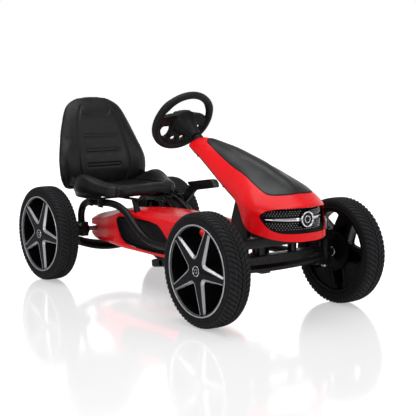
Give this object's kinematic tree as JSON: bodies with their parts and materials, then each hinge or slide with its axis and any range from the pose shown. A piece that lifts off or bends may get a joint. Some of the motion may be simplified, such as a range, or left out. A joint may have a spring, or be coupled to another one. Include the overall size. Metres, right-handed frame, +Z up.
{
  "type": "pedal go kart",
  "caption": "Child's ride-on pedal kart with a bucket seat, steering wheel, hand brake, sloping nose fairing and spoked wheels on a low tube frame.",
  "frame": {"origin": "on the floor, below the middle of the kart's length and width", "axes": "+X forward towards the nose, +Y to the rider's left, +Z up"},
  "size_m": [1.22, 0.5766, 0.6381],
  "materials": {
    "frame_paint": "satin black powder coat",
    "bright_steel": "zinc plated, satin",
    "red_shell": "high gloss",
    "dark_grey_panel": "satin",
    "black_plastic": "fine grain",
    "bright_trim": "polished",
    "wheel_rim": "black with silver edges",
    "tyre_tread": "moulded tread",
    "steering_grip": "fine grain",
    "seat_leather": "imitation leather, grained"
  },
  "bodies": {
    "frame": {"main_beam": "frame_paint", "side_tube_right": "frame_paint", "side_tube_left": "frame_paint", "front_beam": "frame_paint", "front_crossmember": "frame_paint", "kingpin_right": "bright_steel", "kingpin_left": "bright_steel", "rear_beam": "frame_paint", "rear_bearing_right": "frame_paint", "rear_bearing_left": "frame_paint", "crank_bracket": "frame_paint", "steering_head": "frame_paint", "column_sleeve": "black_plastic", "nose_fairing": "red_shell", "hood_insert": "dark_grey_panel", "grille": "black_plastic", "grille_bar": "bright_trim", "badge": "bright_trim", "body_cowl": "red_shell", "side_panel_right": "black_plastic", "side_panel_left": "black_plastic", "chain": "bright_steel", "seat_frame": "frame_paint", "brake_bracket": "frame_paint"},
    "rear_drive": {"rear_axle": "bright_steel", "axle_sprocket": "bright_steel", "brake_drum": "bright_steel", "rear_right_tyre": "tyre_tread", "rear_right_rim": "wheel_rim", "rear_right_hub_cap": "bright_trim"},
    "wheel_rear_left": {"rear_left_tyre": "tyre_tread", "rear_left_rim": "wheel_rim", "rear_left_hub_cap": "bright_trim"},
    "crank": {"crank_spindle": "bright_steel", "chain_wheel": "bright_steel", "crank_arm_right": "frame_paint", "crank_arm_left": "frame_paint"},
    "pedal_right_body": {"pedal_right": "black_plastic"},
    "pedal_left_body": {"pedal_left": "black_plastic"},
    "steering": {"steering_rim": "steering_grip", "steering_spokes": "black_plastic", "steering_pad": "black_plastic", "steering_cone": "dark_grey_panel", "steering_shaft": "bright_steel"},
    "track_rod_body": {"track_rod": "frame_paint"},
    "knuckle_right_body": {"knuckle_right": "frame_paint"},
    "knuckle_left_body": {"knuckle_left": "frame_paint"},
    "wheel_front_right": {"front_right_tyre": "tyre_tread", "front_right_rim": "wheel_rim", "front_right_hub_cap": "bright_trim"},
    "wheel_front_left": {"front_left_tyre": "tyre_tread", "front_left_rim": "wheel_rim", "front_left_hub_cap": "bright_trim"},
    "seat": {"seat_base_pan": "black_plastic", "seat_base_cushion": "seat_leather", "seat_back_shell": "black_plastic", "seat_back_cushion": "seat_leather"},
    "hand_brake": {"brake_lever": "frame_paint", "brake_grip": "black_plastic"},
    "brake_rod_body": {"brake_rod": "frame_paint"}
  },
  "joints": [
    {"name": "axle_spin", "type": "hinge", "parent": "frame", "child": "rear_drive", "pos_m": [-0.45, 0, 0.16], "axis": [0, 1, 0], "continuous": true},
    {"name": "rear_left_spin", "type": "hinge", "parent": "frame", "child": "wheel_rear_left", "pos_m": [-0.45, 0.253, 0.16], "axis": [0, 1, 0], "continuous": true},
    {"name": "crank_spin", "type": "hinge", "parent": "frame", "child": "crank", "pos_m": [0.15, 0, 0.188], "axis": [0, 1, 0], "continuous": true},
    {"name": "pedal_right_spin", "type": "hinge", "parent": "crank", "child": "pedal_right_body", "pos_m": [0.20674, -0.195, 0.14367], "axis": [0, 1, 0], "continuous": true},
    {"name": "pedal_left_spin", "type": "hinge", "parent": "crank", "child": "pedal_left_body", "pos_m": [0.09326, 0.195, 0.23233], "axis": [0, 1, 0], "continuous": true},
    {"name": "steer", "type": "hinge", "parent": "frame", "child": "steering", "pos_m": [-0.003, 0, 0.546], "axis": [-0.8192, 0, 0.5736], "range_deg": [-30, 30]},
    {"name": "track_rod_slide", "type": "slide", "parent": "frame", "child": "track_rod_body", "axis": [0, -1, 0], "range_m": [-0.0205, 0.0205]},
    {"name": "knuckle_right_turn", "type": "hinge", "parent": "frame", "child": "knuckle_right_body", "pos_m": [0.45, -0.19, 0.16], "axis": [0, 0, 1], "range_deg": [-19, 19]},
    {"name": "knuckle_left_turn", "type": "hinge", "parent": "frame", "child": "knuckle_left_body", "pos_m": [0.45, 0.19, 0.16], "axis": [0, 0, 1], "range_deg": [-19, 19]},
    {"name": "front_right_spin", "type": "hinge", "parent": "knuckle_right_body", "child": "wheel_front_right", "pos_m": [0.45, -0.253, 0.16], "axis": [0, 1, 0], "continuous": true},
    {"name": "front_left_spin", "type": "hinge", "parent": "knuckle_left_body", "child": "wheel_front_left", "pos_m": [0.45, 0.253, 0.16], "axis": [0, 1, 0], "continuous": true},
    {"name": "seat_slide", "type": "slide", "parent": "frame", "child": "seat", "axis": [1, 0, 0], "range_m": [-0.03, 0.03]},
    {"name": "brake_pull", "type": "hinge", "parent": "frame", "child": "hand_brake", "pos_m": [-0.208, 0.15, 0.262], "axis": [0, -1, 0], "range_deg": [0, 25]},
    {"name": "brake_rod_slide", "type": "slide", "parent": "frame", "child": "brake_rod_body", "axis": [1, 0, 0], "range_m": [-0.0072, 0]}
  ],
  "couplings": [
    {"joint": "crank_spin", "follows": "axle_spin", "ratio": 0.66667},
    {"joint": "track_rod_slide", "follows": "steer", "m_per_rad": 0.0382},
    {"joint": "knuckle_right_turn", "follows": "steer", "ratio": 0.62},
    {"joint": "knuckle_left_turn", "follows": "steer", "ratio": 0.62},
    {"joint": "brake_rod_slide", "follows": "brake_pull", "m_per_rad": -0.016}
  ]
}
